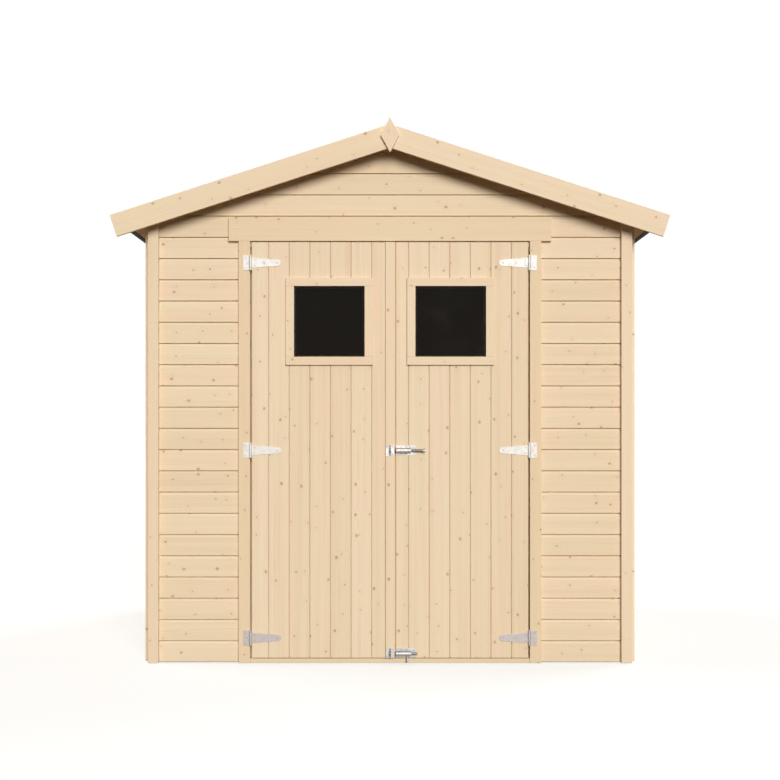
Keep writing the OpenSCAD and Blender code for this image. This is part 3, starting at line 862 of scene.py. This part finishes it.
cap_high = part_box("ridge_felt")[1]
cap = Shape()
for y0, y1, lift in ((-deck_y + FELT_SHORT, 0.11, 0.0), (0.0, deck_y - FELT_SHORT, CAP_LIFT)):
    rows = 24
    rings = []
    for r in range(rows + 1):
        y = y0 + r * (y1 - y0) / rows
        outer = []
        inner = []
        for i in range(-8, 9):
            x = cap_high.x * i / 8
            wave = 0.0006 * noise.noise(Vector((x * 11, y * 6, 3.0)))
            z = cap_high.z - abs(x) * rise - (0.0 if i else 0.004) + lift
            outer.append(Vector((x, y, z + wave)))
            inner.append(Vector((x, y, z - FELT_T)))
        rings.append(outer + inner[::-1])
    add(cap, rings)
build(cap, "ridge_cap", "shed", felt, "roofing_felt", "ridge_felt")

# ---- Door leaves ----


def rectangle(low, high, grow=0.0):
    """Two corners in X and Z of a box seen from the front, grown on all sides."""
    return (low.x - grow, low.z - grow), (high.x + grow, high.z + grow)


def leaf_boards(start):
    """Joints of the boards of a leaf, from its meeting edge to its hinge edge."""
    joints = [DOOR_JOINT + i * DOOR_BOARD for i in range(6)]
    return list(zip([start] + joints, joints + [leaf_high.x - TRIMMED]))


def add_leaf_board(shape, side, x0, x1, z0, z1, board):
    """A length of a tongued board with chamfered front edges."""
    outline = [(x0 + VEE, 0.0), (x1 - VEE, 0.0), (x1 - SLIT, VEE), (x1 - SLIT, SLIT_D), (x1, SLIT_D)]
    outline += [(x1, leaf_t), (x0, leaf_t), (x0, SLIT_D), (x0 + SLIT, SLIT_D), (x0 + SLIT, VEE)]
    add(shape, [[Vector((side * x, leaf_low.y + d, z)) for x, d in outline] for z in (z0, z1)], board)


def add_cut_board(shape, side, x0, x1, board):
    """A board of a leaf, cut around the hole for the window."""
    (hole_x0, hole_z0), (hole_x1, hole_z1) = rectangle(glass_low, glass_high, LINING)
    if x1 <= hole_x0 or x0 >= hole_x1:
        add_leaf_board(shape, side, x0, x1, leaf_low.z, leaf_high.z, board)
        return
    add_leaf_board(shape, side, x0, x1, leaf_low.z, hole_z0, board)
    add_leaf_board(shape, side, x0, x1, hole_z1, leaf_high.z, board)
    if x0 < hole_x0:
        add_leaf_board(shape, side, x0, hole_x0, hole_z0, hole_z1, board)
    if x1 > hole_x1:
        add_leaf_board(shape, side, hole_x1, x1, hole_z0, hole_z1, board)


def add_bars(shape, side, outer, inner, y0, y1, edge, whole_rails=False):
    """Four bars around an opening; the rails or the stiles run through its corners and come first."""
    (x0, z0), (x3, z3) = outer
    (x1, z1), (x2, z2) = inner
    left, right = (x0, x3) if whole_rails else (x1, x2)
    foot, head = (z1, z2) if whole_rails else (z0, z3)
    rails = [((left, y0, a), (right, y1, b), X_AXIS, Z_AXIS) for a, b in ((z0, z1), (z2, z3))]
    stiles = [((a, y0, foot), (b, y1, head), Z_AXIS, X_AXIS) for a, b in ((x0, x1), (x2, x3))]
    for bar in rails + stiles if whole_rails else stiles + rails:
        add_side_box(shape, side, *bar, edge)


def add_window_frame(shape, side):
    """The frame in front of the boards, the lining of the hole and the beads behind the glass."""
    opening = rectangle(glass_low, glass_high)
    lining = rectangle(glass_low, glass_high, LINING)
    beads = rectangle(glass_low, glass_high, -BEAD)
    add_bars(shape, side, rectangle(frame_low, frame_high), opening, frame_low.y, glass_low.y, EDGE, True)
    add_bars(shape, side, lining, opening, glass_low.y, leaf_low.y + leaf_t, 0.0)
    add_bars(shape, side, opening, beads, glass_high.y, glass_high.y + BEAD, EDGE)


ledge_w = ledge_high.z - hinge_heights[2]
ledge_spans = [(z - ledge_w, z + ledge_w) for z in hinge_heights]

for name, side in SIDES:
    body = name + "_door"
    panel = Shape()
    nails = Shape()
    start = leaf_low.x if side > 0 else -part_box("left_door_panel")[1].x - REBATE
    for x0, x1 in leaf_boards(start):
        centre = (side * (x0 + x1) / 2, leaf_low.y, 0.9)
        add_cut_board(panel, side, x0, x1, Board(Z_AXIS, X_AXIS, centre))
        for z in hinge_heights:
            for x, up in ((x0 + NAIL_IN, NAIL_IN), (x1 - NAIL_IN, -NAIL_IN)):
                if 0.12 < x < 0.45:
                    add_nail(nails, (side * x, leaf_low.y, z + up), FRONT)
    build(panel, name + "_leaf_boards", body, door_wood, "door_wood", name + "_door_panel")

    ledges = Shape()
    for z0, z1 in ledge_spans:
        low = (ledge_low.x, ledge_low.y, z0)
        add_side_box(ledges, side, low, (ledge_high.x, ledge_high.y, z1), X_AXIS, Z_AXIS, SOFT_EDGE)
    build(ledges, name + "_leaf_ledges", body, door_wood, "door_wood", name + "_door_ledges")

    brace = Shape()
    foot = 2 * ledge_w
    outline = [(brace_high.x, brace_low.z), (brace_high.x - foot, brace_low.z)]
    outline += [(brace_low.x, brace_high.z), (brace_low.x + foot, brace_high.z)]
    run = brace_low.x - brace_high.x + foot
    lean = Vector((side * run, 0, brace_high.z - brace_low.z)).normalized()
    board = Board(lean, lean.cross(Y_AXIS), (0, brace_low.y, 0.5))
    add_across(brace, mirrored(outline, side), brace_low.y, brace_high.y, board, SOFT_EDGE)
    build(brace, name + "_leaf_brace", body, door_wood, "door_wood", name + "_door_brace")

    window = Shape()
    add_window_frame(window, side)
    build(window, name + "_window_joinery", body, trim_wood, "trim_wood", name + "_window_frame")
    for x in (frame_low.x + 0.017, frame_high.x - 0.017):
        for part in (0.04, 0.36, 0.68, 0.96):
            z = frame_low.z + part * (frame_high.z - frame_low.z)
            add_nail(nails, (side * x, frame_low.y, z), FRONT)

    pane = Shape()
    add_side_box(pane, side, glass_low, glass_high, edge=PANE_EDGE)
    build(pane, name + "_glazing", body, glass, "window_glass", name + "_window_pane")
    if side < 0:
        for i in range(7):
            z = leaf_low.z + 0.12 + i * (leaf_high.z - leaf_low.z - 0.24) / 6
            add_nail(nails, (0.0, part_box("meeting_strip")[0].y, z), FRONT)
    build(nails, name + "_leaf_nails", body, nail_metal, "zinc")

strip = (*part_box("meeting_strip"), Z_AXIS, X_AXIS)
build_boards("cover_strip", "left_door", trim_wood, "meeting_strip", [strip])

# ---- Hinges ----


def add_knuckle(shape, side, z0, z1):
    """A rolled knuckle around the pin."""
    profile = rounded_rod(z1 - z0, KNUCKLE_R, 0.0006)
    add_lathe(shape, Vector((side * pin_x, pin_y, z0)), Z_AXIS, profile, sides=28)


def add_hinge_plate(shape, side, z):
    """Plate on the jamb with its two knuckles, the pin and three screws."""
    half = (plate_high.z - plate_low.z) / 2 - (hinge_heights[2] - hinge_heights[0]) / 2
    edge_x = pin_x + KNUCKLE_R + 0.001
    face = plate_high.y - METAL_T
    high = (plate_high.x, plate_high.y, z + half)
    add_side_box(shape, side, (edge_x, face, z - half), high, edge=METAL_EDGE)
    barrel = half - STRAP_ROOT / 2 - 0.0003
    for z0 in (z - half, z + half - barrel):
        add_knuckle(shape, side, z0, z0 + barrel)
        high = (edge_x + 0.0005, plate_high.y - SUNK, z0 + barrel)
        add_side_box(shape, side, (pin_x, face, z0), high, edge=FOLD_EDGE)
    for z0, direction in ((z - half, -Z_AXIS), (z + half, Z_AXIS)):
        head = [(-0.001, PIN_R), (0.0002, PIN_R * 1.25), (0.0011, PIN_R), (0.0016, PIN_R * 0.45)]
        add_lathe(shape, Vector((side * pin_x, pin_y, z0)), direction, head, sides=20)
    middle = (edge_x + plate_high.x) / 2
    for dx, dz in PLATE_SCREWS:
        add_screw(shape, (side * (middle + dx), face, z + dz), FRONT)


def add_hinge_strap(shape, side, z):
    """Tapered strap on the leaf with its knuckle and four screws."""
    low_z = z - STRAP_ROOT / 2
    high_z = z + STRAP_ROOT / 2
    root_x = leaf_high.x - 0.001
    tip_r = STRAP_TIP / 2
    tip_x = strap_low.x + tip_r
    outline = [(root_x, low_z), (root_x, high_z)]
    for i in range(13):
        a = math.pi / 2 + math.pi * i / 12
        outline.append((tip_x + tip_r * math.cos(a), z + tip_r * math.sin(a)))
    back = leaf_low.y
    add_across(shape, mirrored(outline, side), back - METAL_T, back, edge=METAL_EDGE)
    add_knuckle(shape, side, low_z, high_z)
    add_side_box(shape, side, (root_x - METAL_T, pin_y, low_z), (pin_x, back - SUNK, high_z), edge=FOLD_EDGE)
    for x, dz in STRAP_SCREWS:
        add_screw(shape, (side * x, back - METAL_T, z + dz), FRONT)


for name, side in SIDES:
    plates = Shape()
    straps = Shape()
    for z in hinge_heights:
        add_hinge_plate(plates, side, z)
        add_hinge_strap(straps, side, z)
    build(plates, f"jamb_hinges_{name}", "shed", zinc, "zinc", f"hinge_plates_{name}")
    build(straps, f"{name}_strap_hinges", f"{name}_door", zinc, "zinc", f"{name}_hinge_straps")

# ---- Slide bolts ----


def loop_outline(radius, z, back_y):
    """Depth and height of a loop around a rod: from the plate above it round the front to the plate below."""
    turns = [math.pi / 2 + math.pi * i / 12 for i in range(13)]
    arc = [(rod_y + radius * math.cos(a), z + radius * math.sin(a)) for a in turns]
    return [(back_y, z + radius)] + arc + [(back_y, z - radius)]


def add_bolt_case(shape, z, low_z, high_z, slotted):
    """Backplate, saddles and barrel of a bolt; a slotted barrel is open below, where its handle slides."""
    x0 = barrel_low.x
    face = leaf_low.y - BOLT_T
    add_box(shape, (x0, face, low_z), (barrel_high.x, leaf_low.y, high_z), edge=BOLT_EDGE)
    radius = rod_y - barrel_low.y
    bore = rod_r + BORE_PLAY
    for start in (0.0, BARREL_L - SADDLE_L):
        low = (x0 + start, rod_y + 0.004, z - SADDLE_HALF)
        add_box(shape, low, (x0 + start + SADDLE_L, face, z + SADDLE_HALF), edge=BOLT_EDGE)
    round_l = SLOT_START if slotted else BARREL_L
    chamfered = radius - BARREL_EASE
    profile = [(0.0, bore), (0.0, chamfered), (BARREL_EASE, radius)]
    profile += [(round_l - BARREL_EASE, radius), (round_l, chamfered), (round_l, bore)]
    add_lathe(shape, Vector((x0, rod_y, z)), X_AXIS, profile, sides=32, closed=True)
    if slotted:
        gap = math.asin(SLOT_HALF / radius)
        ring = []
        for i in range(29):
            a = -math.pi / 2 + gap + (2 * math.pi - 2 * gap) * i / 28
            ring.append((math.cos(a), math.sin(a)))
        section = [(rod_y + radius * c, z + radius * s) for c, s in ring]
        section += [(rod_y + bore * c, z + bore * s) for c, s in ring[::-1]]
        add(shape, [[Vector((x, y, h)) for y, h in section] for x in (x0 + SLOT_START, x0 + BARREL_L)])
    for x in (x0 + 0.022, x0 + 0.044):
        for at in (z - 0.0145, z + 0.0145):
            if low_z + 0.004 < at < high_z - 0.004:
                add_screw(shape, (x, face, at), FRONT, radius=BOLT_SCREW_R)
    for at in (low_z + 0.008, high_z - 0.008):
        add_screw(shape, (barrel_high.x - 0.008, face, at), FRONT, radius=BOLT_SCREW_R)


def add_keeper(shape, z, low_z, high_z):
    """Plate on the cover strip and the loop that takes the rod, with its feet above and below."""
    face = keeper_high.y - BOLT_T
    add_box(shape, (keeper_low.x, face, low_z), (keeper_high.x, keeper_high.y, high_z), edge=BOLT_EDGE)
    radius = rod_y - keeper_low.y
    hole = radius - LOOP_T
    back = face + SUNK
    section = loop_outline(radius, z, back) + loop_outline(hole, z, back)[::-1]
    add(shape, [[Vector((x, y, h)) for y, h in section] for x in (-LOOP_HALF, LOOP_HALF)], painted_shade_metal)
    for z0, z1 in ((low_z + 0.001, z - hole - 0.001), (z + hole + 0.001, high_z - 0.001)):
        add(shape, box_rings((-LOOP_HALF, face - FOOT_T, z0), (LOOP_HALF, back, z1)), painted_shade_metal)
    for x in (-0.010, 0.010):
        for at in (low_z + 0.007, high_z - 0.007):
            add_screw(shape, (x, face, at), FRONT, radius=0.003)


plate_half = barrel_high.z - upper_z
keeper_half = keeper_high.z - upper_z
cases = Shape()
add_bolt_case(cases, upper_z, upper_z - plate_half, barrel_high.z, False)
add_bolt_case(cases, lower_z, barrel_low.z, lower_z + plate_half, True)
build(cases, "bolt_cases", "right_door", bolt_zinc, "zinc", "bolt_barrels")

keepers = Shape()
add_keeper(keepers, upper_z, upper_z - keeper_half, keeper_high.z)
add_keeper(keepers, lower_z, keeper_low.z, lower_z + keeper_half)
build(keepers, "bolt_loops", "left_door", bolt_zinc, "zinc", "bolt_keepers")

rod = Shape()
shaft = rounded_rod(upper_high.x - upper_low.x - KNOB_L + 0.001, rod_r, ROD_EDGE)
add_lathe(rod, Vector((upper_low.x, rod_y, upper_z)), X_AXIS, shaft, finish=painted_shade_metal)
knob = rounded_rod(KNOB_L, (upper_high.y - upper_low.y) / 2, 0.0028)
add_lathe(rod, Vector((upper_high.x - KNOB_L, rod_y, upper_z)), X_AXIS, knob, sides=32)
build(rod, "upper_bolt_rod", "upper_bolt", bolt_zinc, "zinc", "upper_bolt")

rod = Shape()
shaft = rounded_rod(lower_high.x - lower_low.x, rod_r, ROD_EDGE)
add_lathe(rod, Vector((lower_low.x, rod_y, lower_z)), X_AXIS, shaft, finish=painted_shade_metal)
drop = lower_z - lower_low.z
handle = [(0.0, HANDLE_R), (drop - 0.006, HANDLE_R), (drop - 0.0045, HANDLE_END_R)]
handle += [(drop - 0.0015, HANDLE_END_R), (drop, HANDLE_TIP_R)]
add_lathe(rod, Vector((barrel_low.x + HANDLE_AT, rod_y, lower_z)), -Z_AXIS, handle)
build(rod, "lower_bolt_rod", "lower_bolt", bolt_zinc, "zinc", "lower_bolt")

# ---- Nails of the shed ----

nails = Shape()
stud_step = (2 * inner_y - STUD_W) / 4
# Through the cladding into the studs
for low in courses(under_roof(wall_x) - 0.05):
    z = low + 0.022
    for side in (-1, 1):
        for i in (1, 2, 3):
            y = -inner_y + STUD_W / 2 + i * stud_step
            add_nail(nails, (side * wall_x, y + rng.uniform(-SCATTER, SCATTER), z), X_AXIS * side)
        x = side * (stop_x + STUD_W / 2 + rng.uniform(-SCATTER, SCATTER))
        add_nail(nails, (x, wall_y, z), Y_AXIS)
# In the corner trims, the jambs, the header and the bargeboards
for side in (-1, 1):
    for i in range(6):
        z = 0.10 + i * 0.33
        for x in (wall_x - 0.034, wall_x - 0.011):
            add_nail(nails, (side * x, -face_y, z), FRONT)
            add_nail(nails, (side * x, face_y, z), Y_AXIS)
        for end in (-1, 1):
            add_nail(nails, (side * side_high.x, end * (side_high.y - 0.022), z), X_AXIS * side)
    for i in range(5):
        add_nail(nails, (side * (stop_x + 0.049), -face_y, 0.25 + i * 0.33), FRONT)
    for x in (0.05, 0.35, 0.64):
        for z in (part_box("door_header")[0].z + 0.03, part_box("door_header")[1].z - 0.03):
            add_nail(nails, (side * x, -face_y, z), FRONT)
    for end in (-1, 1):
        for x in (0.08, 0.36, 0.64, 0.92, 1.11):
            for down in (0.028, 0.070):
                at = (side * x, end * barge_high.y, barge_high.z - x * rise - down)
                add_nail(nails, at, Y_AXIS * end)
# In the finials
for end in (-1, 1):
    for z in (finial_low.z + 0.045, finial_high.z - 0.045):
        add_nail(nails, (0, end * finial_high.y, z), Y_AXIS * end)
build(nails, "shed_nails", "shed", nail_metal, "zinc")

# Clout nails: rows along the felt's lap, its eave and the ridge felt, and up both ends
clouts = Shape()
cap_row = cap_high.x - CLOUT_IN
on_cap = cap_high.z - cap_row * rise - felt_top(cap_row)
rows = [(LAP_X + CLOUT_IN, FELT_T), (deck_x - CLOUT_IN, 0.0), (cap_row, on_cap)]
for side in (-1, 1):
    up = Vector((side * math.sin(slope), 0, math.cos(slope)))
    for i in range(29):
        y = -deck_y + 0.03 + i * (2 * deck_y - 0.06) / 28
        for x, lift in rows:
            on_lap = CAP_LIFT if x == cap_row and y > 0 else 0.0
            at = (side * x, y + rng.uniform(-0.006, 0.006), felt_top(x) + lift + on_lap)
            add_nail(clouts, at, up, radius=CLOUT_R)
    for end in (-1, 1):
        for i in range(9):
            x = 0.22 + i * 0.11
            lift = FELT_T if abs(x - LAP_X) < 0.04 else 0.0
            add_nail(clouts, (side * x, end * (deck_y - 0.014), felt_top(x) + lift), up, radius=CLOUT_R)
build(clouts, "felt_clouts", "shed", zinc, "zinc")

# Stops behind the hinge edges of the leaves, level with the cladding
stops = Shape()
for side in (-1, 1):
    high = (leaf_high.x - STOP_BACK, clad_t - SLACK - wall_y, stop_z)
    add_side_box(stops, side, (stop_x, -wall_y, 0.0), high, Z_AXIS, X_AXIS, edge=EDGE)
build(stops, "door_stops", "shed", cladding_wood, "cladding")

# ---- Stage, light and camera ----


def only_seen(n, hidden, shown):
    """Mixes to the second shader where a camera, glossy or transmission ray looks."""
    path = n.add("LightPath").outputs
    seen = n.math("MAXIMUM", path["Is Camera Ray"], path["Is Glossy Ray"])
    seen = n.math("MAXIMUM", seen, path["Is Transmission Ray"])
    return n.filled("MixShader", {}, seen, hidden, shown)


n = Nodes(bpy.data.materials.new("pale_floor"))
glow = n.add("Emission", Color=(1.0, 1.0, 1.0), Strength=0.62).outputs[0]
pale = n.add("BsdfDiffuse", Color=(0.40, 0.40, 0.40)).outputs[0]
hidden = n.add("BsdfDiffuse", Color=(0.045, 0.038, 0.028)).outputs[0]
n.add("OutputMaterial", Surface=only_seen(n, hidden, n.filled("AddShader", {}, glow, pale)))

FLOOR_HALF = 60.0
FLOOR_DROP = 0.0006  # keeps the floor clear of the undersides
corners = [(x * FLOOR_HALF, y * FLOOR_HALF, 0) for x, y in ((-1, -1), (1, -1), (1, 1), (-1, 1))]
plane = bpy.data.meshes.new("studio_floor")
plane.from_pydata(corners, [], [(0, 1, 2, 3)])
plane.materials.append(n.owner)
floor = bpy.data.objects.new("studio_floor", plane)
floor.location.z = -FLOOR_DROP
bpy.context.scene.collection.objects.link(floor)

# Warm light from overhead; a white background where it is looked at
bpy.context.scene.world = bpy.data.worlds.new("studio")
n = Nodes(bpy.context.scene.world)
height = n.add("SeparateXYZ", Vector=n.add("TexCoord").outputs["Generated"]).outputs["Z"]
overhead = n.between(height, 0.2, 0.95, 0.025, 0.55)
soft = n.add("Background", Color=(1.0, 0.90, 0.76), Strength=overhead).outputs[0]
white = n.add("Background", Color=(1.0, 1.0, 1.0), Strength=1.0).outputs[0]
n.add("OutputWorld", Surface=only_seen(n, soft, white))


def add_sun(name, towards, strength, spread, colour):
    """A soft distant lamp in the direction given."""
    lamp = bpy.data.lights.new(name, "SUN")
    lamp.energy = strength
    lamp.angle = math.radians(spread)
    lamp.color = colour
    sun = bpy.data.objects.new(name, lamp)
    sun.rotation_mode = "QUATERNION"
    sun.rotation_quaternion = Vector(towards).to_track_quat("Z", "Y")
    sun.location = Vector(towards) * 8
    bpy.context.scene.collection.objects.link(sun)


add_sun("key", (0.19, -1.0, 0.30), 3.02, 24, (1.0, 0.995, 0.98))
add_sun("left_fill", (-1.0, 0.30, 0.40), 2.2, 40, (1.0, 0.99, 0.97))
add_sun("right_fill", (0.85, 0.85, 0.50), 2.3, 40, (1.0, 0.99, 0.97))

lens = bpy.data.cameras.new("camera")
lens.sensor_width = 36
lens.lens = 66.36
lens.shift_y = 0.044
camera = bpy.data.objects.new("camera", lens)
camera.location = (0.0, -7.02, 0.997)
camera.rotation_euler = (math.pi / 2, 0, 0)
bpy.context.scene.collection.objects.link(camera)
bpy.context.scene.camera = camera

bpy.context.scene.view_settings.view_transform = "Standard"
